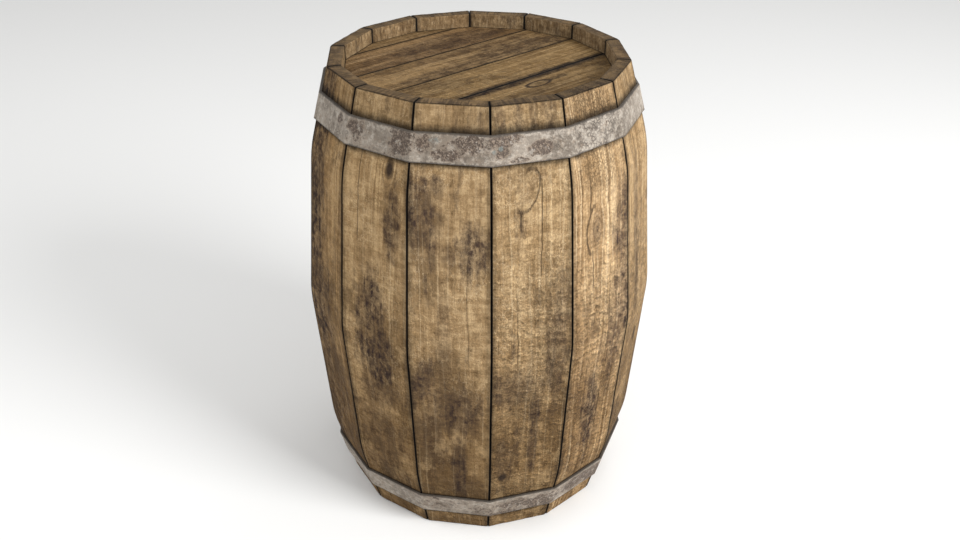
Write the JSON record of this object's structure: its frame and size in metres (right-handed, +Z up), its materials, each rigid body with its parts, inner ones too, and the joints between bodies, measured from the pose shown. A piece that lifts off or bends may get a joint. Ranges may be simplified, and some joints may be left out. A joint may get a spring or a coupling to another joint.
{
  "type": "wine barrel",
  "caption": "Upright oak wine barrel with flat mitred staves, iron head hoops, recessed plank heads and a tapered bung in the bilge.",
  "frame": {"origin": "on the barrel's axis, in the plane of the lower rim that it stands on", "axes": "+Z up along the barrel's axis; +Y is the side with the bung; the corners between staves lie on +X and -X"},
  "size_m": [0.6956, 0.6871, 0.914],
  "materials": {
    "stave_oak": "weathered, stained, dull",
    "head_oak": "weathered, sawn, dull",
    "bung_wood": "turned, wine-stained",
    "dowel_wood": "turned, unfinished",
    "rush": "dried, dark",
    "hoop_iron": "weathered, pitted, dull",
    "rivet_iron": "hammered, dull"
  },
  "bodies": {
    "barrel": {"bung_stave": "stave_oak", "stave_01": "stave_oak", "stave_02": "stave_oak", "stave_03": "stave_oak", "stave_04": "stave_oak", "stave_05": "stave_oak", "stave_06": "stave_oak", "stave_07": "stave_oak", "stave_08": "stave_oak", "stave_09": "stave_oak", "stave_10": "stave_oak", "stave_11": "stave_oak", "stave_12": "stave_oak", "stave_13": "stave_oak", "upper_head_front_cant": "head_oak", "upper_head_front_quarter": "head_oak", "upper_head_front_middle": "head_oak", "upper_head_rear_middle": "head_oak", "upper_head_rear_quarter": "head_oak", "upper_head_rear_cant": "head_oak", "upper_head_rush": "rush", "upper_head_dowels": "dowel_wood", "upper_hoop": "hoop_iron", "upper_hoop_rivets": "rivet_iron", "lower_head_front_cant": "head_oak", "lower_head_front_quarter": "head_oak", "lower_head_front_middle": "head_oak", "lower_head_rear_middle": "head_oak", "lower_head_rear_quarter": "head_oak", "lower_head_rear_cant": "head_oak", "lower_head_rush": "rush", "lower_head_dowels": "dowel_wood", "lower_hoop": "hoop_iron", "lower_hoop_rivets": "rivet_iron"},
    "bung": {"bung": "bung_wood"}
  },
  "joints": [
    {"name": "bung_pull", "type": "slide", "parent": "barrel", "child": "bung", "axis": [0, 1, 0], "range_m": [0, 0.08]}
  ]
}
